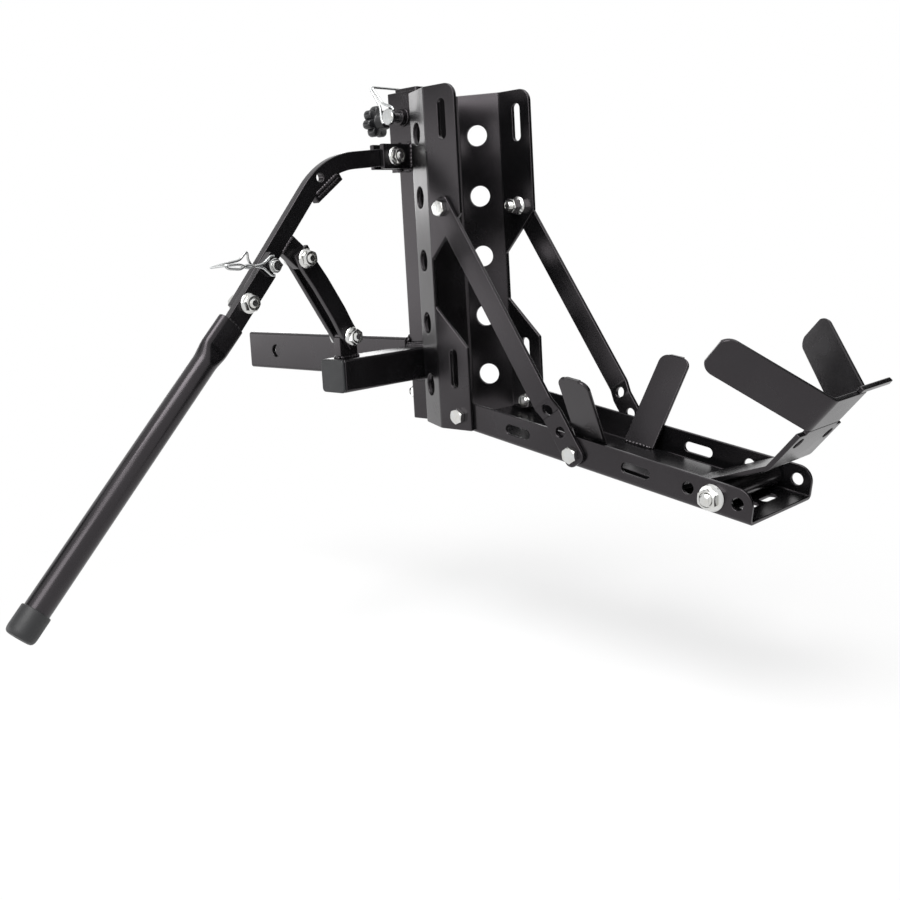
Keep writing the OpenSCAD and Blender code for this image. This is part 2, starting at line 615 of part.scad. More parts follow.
// lever outline: offset o from the centre line, [y, z]
arc_n = 12;
function arc_pt(i, o) = let (g = 90 + first_a + turn * i / arc_n)
    [arc_c[0] + (lever_bend + o) * cos(g), arc_c[1] + (lever_bend + o) * sin(g)];
function end_pt(i) = let (g = 90 + first_a - 180 * i / arc_n)
    [C[0] + lever_d / 2 * cos(g), C[1] + lever_d / 2 * sin(g)];
lever_edge = concat(
    [for (i = [0 : arc_n]) arc_pt(i, lever_d / 2)],
    [[D[0] - 10 * lu[0] - lever_d / 2 * ln[0], D[1] - 10 * lu[1] - lever_d / 2 * ln[1]],
     [D[0] - 10 * lu[0] + lever_d / 2 * ln[0], D[1] - 10 * lu[1] + lever_d / 2 * ln[1]]],
    [for (i = [arc_n : -1 : 0]) arc_pt(i, -lever_d / 2)],
    [for (i = [arc_n : -1 : 0]) end_pt(i)]);
pad_a = first_a + turn / 2 + 8;
module lever_bar() color("#1f1f23") difference() {
    union() {
        translate([MX - lever_t / 2, 0, 0]) yz() linear_extrude(lever_t) polygon(lever_edge);
        // rest pad across the inside of the bend on two feet
        translate([MX - lever_t / 2, arc_c[0], arc_c[1]]) rotate([pad_a, 0, 0]) {
            translate([0, -23, lever_bend - lever_d / 2 - 11]) cube([lever_t, 46, 8]);
            for (k = [-1, 1]) translate([0, k * 20 - 3, lever_bend - lever_d / 2 - 6]) cube([lever_t, 6, 9]);
        }
    }
    xcyl(C[0], C[1], -20, 20, pivot_d + 2 * run_gap);
    xcyl(D[0], D[1], -20, 20, pivot_d + 2 * run_gap);
    translate([MX, arc_c[0], arc_c[1]]) rotate([90 + first_a + turn * 0.72, 0, 0])
        translate([-20, lever_bend, 0]) rotate([0, 90, 0]) cylinder(h = 40, d = 10);
    xcyl(snap[0], snap[1], -20, 20, snap_d + 2 * run_gap);
}
module lever_link_tab() color("#1f1f23") translate([MX - lever_t / 2, D[0], D[1]]) rotate([lever_a, 0, 0]) yz()
    linear_extrude(lever_t) difference() {
        polygon(concat([[B_al - 12.5, -lever_d / 2], [B_al + 12.5, -lever_d / 2]],
            [for (i = [0 : 16]) [B_al + 12.5 * cos(180 * i / 16), -B_off - 12.5 * sin(180 * i / 16)]]));
        translate([B_al, -B_off]) circle(d = pivot_d + 5);
    }
module link_bars() color("#242428") translate([MX, B[0], B[1]]) rotate([link_a, 0, 0]) difference() {
    union() {
        translate([-lnk_x, -11, -link_w / 2]) cube([link_t, link_len + 22, link_w]);
        translate([0, 0, -link_w / 2]) linear_extrude(link_w) polygon(strip([
            [in_x + link_t / 2, -11], [in_x + link_t / 2, 15], [in_x + link_t / 2 + link_spread, 26],
            [in_x + link_t / 2 + link_spread, link_len - 26], [in_x + link_t / 2, link_len - 15],
            [in_x + link_t / 2, link_len + 11]], 8, link_t, 4));
    }
    for (y = [0, link_len]) translate([-50, y, 0]) rotate([0, 90, 0])
        cylinder(h = 100, d = pivot_d + 2 * run_gap);
}
module link_head_bolt() color("#c9ccd0") pivot_bolt_x(B, -lnk_x, lnk_x);
module link_head_nut() color("#c9ccd0") flange_nut_x(B, lnk_x);
// flat handle bar beside the lever, open towards the inside around the snap pin
module handle_bar() color("#1f1f23") difference() {
    translate([MX, D[0], D[1]]) rotate([grip_a, 0, 0]) difference() {
        translate([grip_in, -58, -grip_d / 2]) cube([grip_t, 119, grip_d]);
        translate([-40, snap_r, 0]) rotate([0, 90, 0]) cylinder(h = 80, d = snap_d + 0.8);
        rotate([90, 0, 90]) linear_extrude(40) polygon([
            [snap_r - snap_d / 2 - 0.4, 0], [snap_r + snap_d / 2 + 0.4, 0],
            [snap_r + snap_d / 2 + 0.4, -grip_d], [snap_r - snap_d / 2 - 4, -grip_d]]);
    }
    xcyl(D[0], D[1], -40, 40, pivot_d + 2 * run_gap);
}
// handle tube frame: the tube runs along -Y, flattened at its mouth
module tube_at() translate([MX + grip_c, D[0], D[1]]) rotate([tube_a, 0, 0])
    translate([0, 0, tube_off]) children();
mouth_t = grip_t + 2 * tube_wall + 1;
mouth_w = (3.1416 * tube_d - 3.1416 * mouth_t) / 2 + mouth_t;
// point j of n on the outline between flat mouth (k = 0) and round tube (k = 1), r inset
function mouth_pt(j, n, k, r) = let (g = 360 * j / n, t = mouth_t / 2 - r, w = (mouth_w - mouth_t) / 2)
    (1 - k) * [t * cos(g), t * sin(g) + (sin(g) > 0.001 ? w : sin(g) < -0.001 ? -w : 0)]
    + k * (tube_d / 2 - r) * [cos(g), sin(g)];
module mouth(k, r) polygon([for (j = [0 : 31]) mouth_pt(j + 0.5, 32, k, r)]);
module tube_body() tube_at() rotate([90, 0, 0]) difference() {
    union() {
        translate([0, 0, 29]) linear_extrude(34) mouth(0, 0);
        hull() {
            translate([0, 0, 62]) linear_extrude(0.1) mouth(0, 0.04);
            translate([0, 0, 80.4]) linear_extrude(0.1) mouth(1, 0.04);
        }
        translate([0, 0, 79.5]) cylinder(h = handle_len - 4 - 79.5, d = tube_d);
    }
    translate([0, 0, 28]) linear_extrude(34.6) mouth(0, tube_wall);
    hull() {
        translate([0, 0, 62.1]) linear_extrude(0.1) mouth(0, tube_wall + 0.04);
        translate([0, 0, 80.7]) linear_extrude(0.1) mouth(1, tube_wall + 0.04);
    }
    translate([0, 0, 79.9]) cylinder(h = handle_len, d = tube_d - 2 * tube_wall);
}
// the handle bar sits in a snug pocket of the mouth
module handle_tube() color("#242428") difference() {
    tube_body();
    translate([MX, D[0], D[1]]) rotate([grip_a, 0, 0])
        translate([grip_in - 0.05, -58.05, -grip_d / 2 - 0.05]) cube([grip_t + 0.1, 119.1, grip_d + 0.1]);
}
module foot_cap() color("#151517") tube_at() rotate([90, 0, 0]) difference() {
    union() {
        translate([0, 0, handle_len - 28]) cylinder(h = 25, d = foot_d);
        translate([0, 0, handle_len - 3]) cylinder(h = 3, d1 = foot_d - 0.02, d2 = foot_d - 6);
    }
    translate([0, 0, handle_len - 29]) cylinder(h = 25.2, d = tube_d);
}
module handle_bolt() color("#c9ccd0") pivot_bolt_x(D, -lever_t / 2 - 0.3, grip_x);
module handle_nut() color("#c9ccd0") flange_nut_x(D, grip_x);
// the snap pin stays in the lever; its collar stands just off the handle bar
module snap_pin() color("#d2d5d8") {
    xcyl(snap[0], snap[1], -lever_t / 2 - 8, grip_x + 0.3, snap_d);
    xcyl(snap[0], snap[1], grip_x + 0.3, grip_x + 6.3, 16);
    xcyl(snap[0], snap[1], grip_x + 6.3, grip_x + 9.5, 12);
}
// wire bail: two legs from the collar close up, cross over and come back kinked to the pin tip
module snap_pin_bail() color("#d2d5d8") {
    x0 = MX + grip_x + 3.3;
    x1 = MX - lever_t / 2 - 6;
    r0 = 8 + 0.6 + wire_d / 2;
    r1 = snap_d / 2 + 2 + wire_d / 2;
    u = dirx(snap_dir);
    e = [u[1], -u[0]];
    for (k = [-1, 1]) wire([for (p = [[0, r0], [5, r0], [17, 3.4], [snap_reach, 3.4]])
        [x0, snap[0] + p[0] * u[0] + k * p[1] * e[0], snap[1] + p[0] * u[1] + k * p[1] * e[1]]], wire_d);
    rod([x0, snap[0] + snap_reach * u[0] - 3.4 * e[0], snap[1] + snap_reach * u[1] - 3.4 * e[1]],
        [x0, snap[0] + snap_reach * u[0] + 3.4 * e[0], snap[1] + snap_reach * u[1] + 3.4 * e[1]], wire_d);
    wire(first = false, d = wire_d, pts = concat([[x0, snap[0] + snap_reach * u[0], snap[1] + snap_reach * u[1]]],
        [for (p = [[snap_reach, 0], [24, 7], [14, 17], [13, 6.5], [r1, 0]])
            [x1, snap[0] + p[0] * u[0] + p[1] * e[0], snap[1] + p[0] * u[1] + p[1] * e[1]]]));
}

hitch_bar();
mast();
stub_arm();
stub_end_cap();
stub_link_bracket();
link_foot_bolt();
link_foot_nut();
guide_bolt();
guide_washers();
guide_nut();
sleeve();
clevis_plates();
lever_pivot_bolt();
lever_pivot_nut();
lock_pin_bush();
lock_pin();
lock_pin_bail();
knob_nut();
knob_screw();
star_knob();
v_plate();
tray();
brace_near();
brace_far();
brace_bolts();
brace_nuts();
tray_bolts();
tray_nuts();
chock_pivot_bolt();
chock_pivot_nut();
chock_plate();
chock_wings();
chock_lug();
chock_tabs();
chock_pivot_tube();
lever_bar();
lever_link_tab();
link_bars();
link_head_bolt();
link_head_nut();
handle_bar();
handle_tube();
foot_cap();
handle_bolt();
handle_nut();
snap_pin();
snap_pin_bail();
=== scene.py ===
# %% [markdown]
# # Hitch motorcycle carrier
# The carrier is welded from square tube and bent plate, powder coated black and
# bolted together with zinc plated hardware. The solids come in as a fixed frame.
# This script gives each of them its finish, rounds the cut edges, and adds what
# a welder and a bolt supplier add: beads, chamfers, flanges and threads.

# %% Load the frame
import json
import math
import bmesh
import bpy
from mathutils import Matrix, Vector


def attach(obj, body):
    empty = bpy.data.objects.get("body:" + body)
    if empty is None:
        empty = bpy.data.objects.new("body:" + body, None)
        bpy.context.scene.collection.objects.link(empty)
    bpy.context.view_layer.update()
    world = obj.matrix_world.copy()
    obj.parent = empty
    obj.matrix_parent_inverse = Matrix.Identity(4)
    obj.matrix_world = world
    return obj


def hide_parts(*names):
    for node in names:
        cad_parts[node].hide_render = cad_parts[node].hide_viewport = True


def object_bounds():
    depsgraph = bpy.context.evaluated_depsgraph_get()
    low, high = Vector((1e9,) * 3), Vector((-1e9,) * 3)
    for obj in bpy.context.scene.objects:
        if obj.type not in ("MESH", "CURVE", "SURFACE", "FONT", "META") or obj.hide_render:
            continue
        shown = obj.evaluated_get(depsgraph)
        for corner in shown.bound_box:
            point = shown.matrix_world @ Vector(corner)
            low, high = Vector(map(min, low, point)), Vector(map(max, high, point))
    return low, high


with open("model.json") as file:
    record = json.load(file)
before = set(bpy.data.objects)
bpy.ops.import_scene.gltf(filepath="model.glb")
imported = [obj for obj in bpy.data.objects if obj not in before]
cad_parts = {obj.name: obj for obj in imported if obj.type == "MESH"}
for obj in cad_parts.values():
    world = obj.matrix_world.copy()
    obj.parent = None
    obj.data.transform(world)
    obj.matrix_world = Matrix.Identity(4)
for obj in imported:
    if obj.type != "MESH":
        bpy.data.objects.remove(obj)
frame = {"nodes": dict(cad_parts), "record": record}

cad_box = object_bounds()
behaviour = frame["record"]["behaviour"]
node_body = {n: b for b, ns in behaviour["bodies"].items() for n in ns}
print("frame nodes:", len(frame["nodes"]), "box:", [tuple(round(x, 3) for x in c) for c in cad_box])

# %% [markdown]
# ## Places
# Places are in millimetres. The mast stands at one X, and the pivots of the lever
# lie in the plane through it, so a pivot is a pair of Y and Z. The joints of the
# frame give most places. Only the upper link bolt, the snap pin and the guide bolt
# are written out.

# %% Pivots and heights
joint_mm = {j["name"]: [1000 * c for c in j["pos_m"]] for j in behaviour["joints"] if "pos_m" in j}
MX = joint_mm["lever_swing"][0]
lever_pivot = joint_mm["lever_swing"][1:]
link_foot = joint_mm["link_swing"][1:]
handle_hinge = joint_mm["handle_fold"][1:]
link_head = (-197.467, 131.869)
snap_spot = (-246.253, 126.813)
lock_z, knob_z, guide_z = joint_mm["lock_bail_swing"][2], joint_mm["knob_turn"][2], -46
print("mast at", MX, "lever pivot", lever_pivot, "link foot", link_foot, "handle hinge", handle_hinge)

# %% [markdown]
# ## Colours and nodes
# Colours are written as sRGB hex values, as a paint card gives them. Blender
# works in linear light, so one function converts them. A second function adds a
# shader node, sets its values and links its inputs, which keeps materials short.

# %% Small helpers
def paint(hex_code):
    parts = [int(hex_code[i:i + 2], 16) / 255 for i in (1, 3, 5)]
    return [c / 12.92 if c <= 0.04045 else ((c + 0.055) / 1.055) ** 2.4 for c in parts] + [1.0]


def add(tree, kind, sets=None, links=None, **props):
    node = tree.nodes.new(kind)
    for key, value in props.items():
        setattr(node, key, value)
    for key, value in (sets or {}).items():
        node.inputs[key].default_value = value
    for key, socket in (links or {}).items():
        tree.links.new(socket, node.inputs[key])
    return node


def new_material(name):
    mat = bpy.data.materials.new(name)
    mat.use_nodes = True
    return mat, mat.node_tree, mat.node_tree.nodes["Principled BSDF"]


print("black is", paint("#0b0b0c"))

# %% [markdown]
# ## Grain
# Every finish here is a noise in the object's own space that sets the colour, the
# gloss and a fine bump. Noise keeps near its middle, so the middle is stretched.

# %% Noise, its range, and what it drives
def grain(tree, scale, detail):
    place = add(tree, "ShaderNodeTexCoord")
    sets = {"Scale": scale, "Detail": detail}
    return add(tree, "ShaderNodeTexNoise", sets, {"Vector": place.outputs["Object"]}).outputs["Fac"]


def spread(tree, value, low, high, start=0.3, stop=0.7, **props):
    sets = {"From Min": start, "From Max": stop, "To Min": low, "To Max": high}
    return add(tree, "ShaderNodeMapRange", sets, {"Value": value}, **props).outputs["Result"]


def two_tone(tree, one, two, share):
    sets = {"A": paint(one), "B": paint(two)}
    return add(tree, "ShaderNodeMix", sets, {"Factor": share}, data_type="RGBA").outputs["Result"]


def dress(tree, shader, tone, gloss, height, strength, depth):
    bump = add(tree, "ShaderNodeBump", {"Strength": strength, "Distance": depth}, {"Height": height})
    tree.links.new(tone, shader.inputs["Base Color"])
    tree.links.new(gloss, shader.inputs["Roughness"])
    tree.links.new(bump.outputs["Normal"], shader.inputs["Normal"])


print("grain tools ready")

# %% [markdown]
# ## Powder coat
# Powder coat is baked polyester. It is black with a half gloss, and it dries with
# a faint orange peel of under 2 mm. The bump is drawn at that size. A slow noise
# changes the gloss a little, as handling and dust do.

# %% Black powder coat
def powder_coat(name, colour, rough, peel_mm=1.6, peel=0.025):
    mat, tree, shader = new_material(name)
    slow = grain(tree, 14.0, 4.0)
    fine = grain(tree, 1000 / peel_mm, 2.0)
    dust = spread(tree, slow, 0.0, 0.16, start=0.5, stop=0.8)
    tone = two_tone(tree, colour, "#2a2b2d", dust)
    dress(tree, shader, tone, spread(tree, slow, rough - 0.04, rough + 0.06), fine, peel, 0.0006)
    # black polyester shines with a faint plum cast
    shader.inputs["Specular Tint"].default_value = paint("#fdf3fa")
    shader.inputs["IOR"].default_value = 1.5
    return mat


black_coat = powder_coat("polyester_powder_coat", "#0b0b0c", 0.23)
weld_coat = powder_coat("powder_coat_on_weld", "#0c0c0d", 0.2, peel_mm=1.0, peel=0.12)
print("coats:", black_coat.name, weld_coat.name)

# %% [markdown]
# ## Zinc plate
# The bolts, nuts and pins are steel with a bright zinc plate. It is a metal with
# a soft shine and a slight cool and warm clouding from the passivation bath.

# %% Zinc plate and bright wire
def zinc_plate(name, colour, warm, rough):
    mat, tree, shader = new_material(name)
    tone = two_tone(tree, colour, warm, grain(tree, 160.0, 3.0))
    grit = grain(tree, 1400.0, 2.0)
    dress(tree, shader, tone, spread(tree, grit, rough - 0.05, rough + 0.1), grit, 0.06, 0.0002)
    shader.inputs["Metallic"].default_value = 1.0
    return mat


zinc = zinc_plate("zinc_plated_steel", "#d4d7da", "#c9c6be", 0.17)
bright_wire = zinc_plate("bright_zinc_wire", "#c4c8cc", "#b9b8b3", 0.18)
print("metals:", zinc.name, bright_wire.name)

# %% [markdown]
# ## Rubber and plastic
# The foot cap is moulded rubber: dull, with a fine grain. The star knob and the
# tube plug are moulded plastic with a finer grain, and the knob shines more.

# %% Rubber and plastic
def moulded(name, colour, rough, grain_mm, depth):
    mat, tree, shader = new_material(name)
    fine = grain(tree, 1000 / grain_mm, 2.0)
    slow = grain(tree, 40.0, 3.0)
    tone = two_tone(tree, colour, "#1a1b1d", slow)
    dress(tree, shader, tone, spread(tree, slow, rough - 0.05, rough + 0.08), fine, depth, 0.0003)
    return mat


rubber = moulded("moulded_rubber", "#1c1c1d", 0.48, 1.2, 0.12)
knob_plastic = moulded("moulded_phenolic", "#08080a", 0.28, 0.9, 0.06)
plug_plastic = moulded("moulded_polyethylene", "#17181a", 0.5, 1.0, 0.1)
finish_of = {"black_coat": black_coat, "zinc": zinc, "bright_wire": bright_wire, "rubber": rubber,
             "knob_plastic": knob_plastic, "cap_plastic": plug_plastic}
slot_of = {s["node"]: s["material_slot"] for s in frame["record"]["subparts"]}
for name, obj in frame["nodes"].items():
    obj.data.materials.clear()
    obj.data.materials.append(finish_of[slot_of[name]])
print("finishes set on", len(frame["nodes"]), "nodes")

# %% [markdown]
# ## Broken edges
# Saw cut and laser cut steel has its edges broken before coating, and the coat
# rounds them further. Each plate and tube is copied, its triangles are merged to
# flat faces, and every sharp edge gets a small bevel that catches the light.

# %% Tools for broken edges
def piece(name, bm, body, slot, smooth_deg=35, mat=None):
    mesh = bpy.data.meshes.new(name)
    bm.to_mesh(mesh)
    bm.free()
    for poly in mesh.polygons:
        poly.use_smooth = True
    mesh.set_sharp_from_angle(angle=math.radians(smooth_deg))
    mesh.materials.append(mat or finish_of[slot])
    obj = bpy.data.objects.new(name, mesh)
    bpy.context.scene.collection.objects.link(obj)
    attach(obj, body)
    return obj


def bevel(bm, edges, width_mm, segments):
    bmesh.ops.bevel(bm, geom=edges, offset=width_mm / 1000, offset_type="OFFSET", segments=segments,
                    profile=0.5, affect="EDGES", clamp_overlap=False, material=-1)


def edges_between(bm, low_deg, high_deg):
    pairs = [e for e in bm.edges if len(e.link_faces) == 2]
    return [e for e in pairs if low_deg < math.degrees(e.calc_face_angle(0)) < high_deg]


def break_edges(node, width_mm, shape=None, segments=2):
    bm = bmesh.new()
    bm.from_mesh(frame["nodes"][node].data)
    bmesh.ops.remove_doubles(bm, verts=bm.verts[:], dist=2e-5)
    bmesh.ops.dissolve_limit(bm, angle_limit=math.radians(0.5), verts=bm.verts[:], edges=bm.edges[:])
    if shape:
        shape(bm)
    bevel(bm, edges_between(bm, 28, 181), width_mm, segments)
    obj = piece(node + "_coated", bm, node_body[node], slot_of[node])
    mod = obj.modifiers.new("even shading", "WEIGHTED_NORMAL")
    mod.keep_sharp = True
    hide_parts(node)
    return obj


print("edge tools ready")

# %% [markdown]
# ## Bars with their own shape
# The braces get round corners and folds. The rear link bar stands off a little in
# the middle, and leaves its flat ends in a long soft curve.

# %% Round the edges of plates and tubes
def smooth_step(t):
    k = min(1.0, max(0.0, t))
    return k * k * (3 - 2 * k)


def round_ends(bm):
    # the corners of a brace run along Y, through its thickness, and its folds run across it
    corners = [e for e in edges_between(bm, 60, 181) if e.calc_length() < 0.008
               and abs((e.verts[1].co - e.verts[0].co).normalized().y) > 0.9]
    bevel(bm, corners, 8.0, 6)
    bevel(bm, [e for e in edges_between(bm, 12, 40) if e.calc_length() > 0.015], 4.0, 5)


def ease_joggle(bm):
    flat_end, curve, stand_off = 8, 30, 2.2
    inner, middle, outer = 5.3, 11, 11.65
    head, foot = Vector((MX, *link_head)) / 1000, Vector((MX, *link_foot)) / 1000
    way, length = (foot - head).normalized(), (foot - head).length
    for step in range(13):
        t = (flat_end + 2.5 * step) / 1000
        for spot in (head + way * t, foot - way * t):
            parts = bm.verts[:] + bm.edges[:] + bm.faces[:]
            bmesh.ops.bisect_plane(bm, geom=parts, plane_co=spot, plane_no=way)
    for v in bm.verts:
        off = v.co.x * 1000 - MX
        if off > 5:
            t = (v.co - head).dot(way)
            k = smooth_step((min(t, length - t) * 1000 - flat_end) / curve)
            v.co.x = (MX + (inner if off < middle else outer) + stand_off * k) / 1000


shapes = {"brace_near": round_ends, "brace_far": round_ends, "link_bars": ease_joggle}
edge_mm = {"hitch_bar": 1.2, "mast": 1.1, "stub_arm": 1.4, "stub_end_cap": 1.4, "stub_link_bracket": 0.7,
           "sleeve": 0.7, "clevis_plates": 1.0, "v_plate": 1.1, "tray": 0.9, "brace_near": 1.1,
           "brace_far": 1.1, "chock_plate": 1.1, "chock_wings": 1.1, "chock_lug": 1.0, "chock_tabs": 1.1,
           "lever_bar": 1.1, "lever_link_tab": 0.7, "link_bars": 0.8, "handle_bar": 0.8,
           "lock_pin_bush": 0.6, "chock_pivot_tube": 0.5, "guide_washers": 0.4}
for node, width in edge_mm.items():
    obj = break_edges(node, width, shapes.get(node))
    print(node, "edges broken at", width, "mm:", len(obj.data.polygons), "faces")

# %% [markdown]
# ## Shapes from rings
# Most of the new pieces are lofts: rings of points laid one after another and
# bridged, as a boat builder planks over frames. Turned pieces are spun from a
# half profile instead. A place matrix puts local Z along the axis of a piece.

# %% Tools for lofted and turned pieces
def at(x, y, z, axis, turn_deg=0.0):
    turn = Vector(axis).to_track_quat("Z", "X").to_matrix().to_4x4()
    spin = Matrix.Rotation(math.radians(turn_deg), 4, "Z")
    return Matrix.Translation(Vector((x, y, z)) / 1000) @ turn @ spin


def loft(bm, rings):
    loops = []
    for spots in rings:
        verts = bmesh.ops.create_circle(bm, cap_ends=False, segments=len(spots), radius=1.0)["verts"]
        for v, spot in zip(verts, spots):
            v.co = spot
        loops.append(list({e for v in verts for e in v.link_edges}))
    for one, two in zip(loops, loops[1:]):
        bmesh.ops.bridge_loops(bm, edges=one + two)
    for loop in (loops[0], loops[-1]):
        bmesh.ops.edgeloop_fill(bm, edges=loop)


def rounds(place, spec, segments):
    # each ring is (height, radius) in mm, where the radius may depend on the angle
    out = []
    for z, r in spec:
        spots = []
        for i in range(segments):
            a = 2 * math.pi * i / segments
            rad = r(a) if callable(r) else r
            spots.append(place @ (Vector((rad * math.cos(a), rad * math.sin(a), z)) / 1000))
        out.append(spots)
    return out


def turned(bm, place, profile, turns=1.0, rise_mm=0.0, steps=40):
    # profile points are (height, radius) in mm, spun around the axis of the place
    axis = place.to_3x3() @ Vector((0, 0, 1))
    verts = [bm.verts.new(place @ (Vector((r, 0, z)) / 1000)) for z, r in profile]
    edges = [bm.edges.new(pair) for pair in zip(verts, verts[1:])]
    bmesh.ops.spin(bm, geom=verts + edges, cent=place.translation, axis=axis,
                   angle=2 * math.pi * turns, steps=steps, dvec=axis * (rise_mm / steps / 1000))


def done(name, bm, node, smooth_deg=25):
    bmesh.ops.remove_doubles(bm, verts=bm.verts[:], dist=1e-6)
    bmesh.ops.recalc_face_normals(bm, faces=bm.faces[:])
    obj = piece(name, bm, node_body[node], slot_of[node], smooth_deg)
    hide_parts(node)
    print(name, len(obj.data.polygons), "faces")


print("loft and spin tools ready")

# %% [markdown]
# ## Bolts and nuts
# A hex head is a six sided prism whose corners are cut by a cone, which leaves the
# curved chamfer seen on every real nut. The ring below the chamfer follows the
# hexagon, so its height is worked out from the distance to the axis. Threads are a
# small ridge spun around the shank that climbs by its pitch on each turn.

# %% Bolt and nut makers
# a thread size is its diameter, the width across flats, the head's height and the pitch
M10, M12 = (10, 16, 6.4, 1.5), (12, 18, 7.4, 1.75)
bore_gap = 0.05
flip = Matrix.Rotation(math.pi, 4, "X")


def hexagon(across):
    return lambda a: across / 2 / math.cos((a + math.pi / 6) % (math.pi / 3) - math.pi / 6)


def hex_block(bm, place, across, low, high, bore=0.0):
    wall, rim, sides = hexagon(across), across / 2 * 0.955, 48
    rings = rounds(place, [(low, bore or 0.5), (low, wall)], sides)
    cone = []
    for i in range(sides):
        a = 2 * math.pi * i / sides
        r = wall(a)
        z = high - (r - rim) * 0.6
        cone.append(place @ (Vector((r * math.cos(a), r * math.sin(a), z)) / 1000))
    rings += [cone] + rounds(place, [(high, rim)], sides)
    if bore:
        sink = [(high - 0.01, bore + 1.3), (high - 1.5, bore + 0.9), (high - 1.6, bore)]
        rings += rounds(place, sink, sides)
    loft(bm, rings)


def thread(bm, place, d, low, high, pitch):
    root = d / 2 - 0.55 * pitch
    ridge = [(low - 0.45 * pitch, root), (low, d / 2), (low + 0.45 * pitch, root)]
    turns = (high - low) / pitch
    turned(bm, place, ridge, turns=turns, rise_mm=high - low, steps=int(24 * (high - low) / pitch))


def shank(bm, place, d, length, threaded, pitch, first):
    core, start = d / 2 - 0.5 * pitch, length - threaded
    turned(bm, place, first + [(0, d / 2), (start - 0.6, d / 2), (start, core), (length - 0.7, core),
                               (length, core - 0.9), (length, 0.0)])
    thread(bm, place, d, start + 0.5 * pitch, length - 0.9, pitch)


def bolt(bm, place, size, length, threaded):
    d, across, head, pitch = size
    hex_block(bm, place @ flip, across, 0.4, head)
    washer_face = [(-0.5, 0.0), (-0.5, across * 0.47), (0, across * 0.47)]
    shank(bm, place, d, length, threaded, pitch, washer_face)


def flange_nut(bm, place, size, height, flange, lip):
    across, bore = size[1], size[0] / 2 + bore_gap
    turned(bm, place, [(0, bore), (0, flange / 2 - 0.5), (0.4, flange / 2), (lip * 0.5, flange / 2),
                       (lip, flange / 2 - 0.9), (lip + 1.2, across / 2 * 0.98), (lip + 1.2, bore), (0, bore)])
    hex_block(bm, place, across, lip * 0.7, height, bore)


print("bolt and nut makers ready")

# %% [markdown]
# ## Pivot bolts
# Four pivots join the lever, the link, the handle and the stub. Each has a plain
# head towards the vehicle and a flange nut towards the rear. The nuts stand at
# different turns, as they do when each one is tightened by hand.

# %% Pivot bolts and flange nuts
# each pivot has its place, the faces of the joined bars before and behind MX, and a turn
pivots = {"lever_pivot": (lever_pivot, -11.7, 11.7, 12), "link_head": (link_head, -11.7, 11.7, 40),
          "link_foot": (link_foot, -11.9, 11.9, 25), "handle": (handle_hinge, -5.3, 14.3, 50)}
for name, (spot, front, rear, turn) in pivots.items():
    bm = bmesh.new()
    bolt(bm, at(MX + front, *spot, (1, 0, 0), turn * 2), M10, rear - front + 11, 14)
    done(name + "_bolt_turned", bm, name + "_bolt")
    bm = bmesh.new()
    flange_nut(bm, at(MX + rear, *spot, (1, 0, 0), turn), M10, 9.5, 22, 2.5)
    done(name + "_nut_turned", bm, name + "_nut")

# %% [markdown]
# ## Bolts of the cradle and tray
# The tray slopes by 9.9 degrees, so a place on it is worked out from the distance
# along the tray and the height above its bolt row. The bolts lie along Y, in pairs.

# %% Bolts across the tray
tilt = math.radians(9.9)
tray_start = (MX + 105.5, -57)
tray_side, tray_wall, plate = 61.8, 4, 5


def tray_spot(s, h):
    return (tray_start[0] + s * math.cos(tilt) + h * math.sin(tilt),
            tray_start[1] - s * math.sin(tilt) + h * math.cos(tilt))


brace_top, brace_low, tray_end = (MX + 99.5, 178.5), tray_spot(160.91, -1.5), tray_spot(0, 0)
bolts, nuts, ends, end_nuts = bmesh.new(), bmesh.new(), bmesh.new(), bmesh.new()
for sd, turn in ((-1, 18), (1, 41)):
    def across_tray(spot, y, turn_deg):
        return at(spot[0], sd * y, spot[1], (0, -sd, 0), turn_deg)

    bolt(bolts, across_tray(brace_top, tray_side + 2 * plate, turn), M10, 29.5, 20)
    bolt(bolts, across_tray(brace_low, tray_side + plate, turn + 9), M10, 18, 12)
    flange_nut(nuts, across_tray(brace_top, tray_side, turn + 7), M10, 15, 22, 2)
    low_nut = across_tray(brace_low, tray_side - tray_wall, turn + 14)
    hex_block(nuts, low_nut, M10[1], 0, 7, M10[0] / 2 + bore_gap)
    bolt(ends, across_tray(tray_end, tray_side + plate, turn + 21), M10, 19.8, 12)
    flange_nut(end_nuts, across_tray(tray_end, tray_side - tray_wall, turn + 33), M10, 10, 19, 1.8)
done("brace_bolts_turned", bolts, "brace_bolts")
done("brace_nuts_turned", nuts, "brace_nuts")
done("tray_bolts_turned", ends, "tray_bolts")
done("tray_nuts_turned", end_nuts, "tray_nuts")

# %% [markdown]
# ## Long bolts
# The chock tips on one long bolt across the tray, and a guide bolt keeps the foot
# of the cradle plate on the mast. The chock's bolt has a flange under its head.

# %% Chock pivot and guide bolt
x, z = tray_spot(323.7, 0.45)
bm = bmesh.new()
spot = at(x, tray_side, z, (0, -1, 0), 10)
hex_block(bm, spot @ flip, M12[1], 2.6, 11)
head_flange = [(-3, 0.0), (-3, 11.6), (-2.0, 12.9), (-0.6, 13.0), (0, 12.5)]
shank(bm, spot, M12[0], 138.6, 18, M12[3], head_flange)
done("chock_pivot_bolt_turned", bm, "chock_pivot_bolt")
bm = bmesh.new()
flange_nut(bm, at(x, -tray_side, z, (0, -1, 0), 27), M12, 11.5, 27, 3)
done("chock_pivot_nut_turned", bm, "chock_pivot_nut")
bm = bmesh.new()
bolt(bm, at(MX + 33, 0, guide_z, (-1, 0, 0), 15), M12, 71.05, 26)
done("guide_bolt_turned", bm, "guide_bolt")
bm = bmesh.new()
flange_nut(bm, at(MX - 19.05, 0, guide_z, (-1, 0, 0), 35), M12, 12, 26, 2.5)
done("guide_nut_turned", bm, "guide_nut")

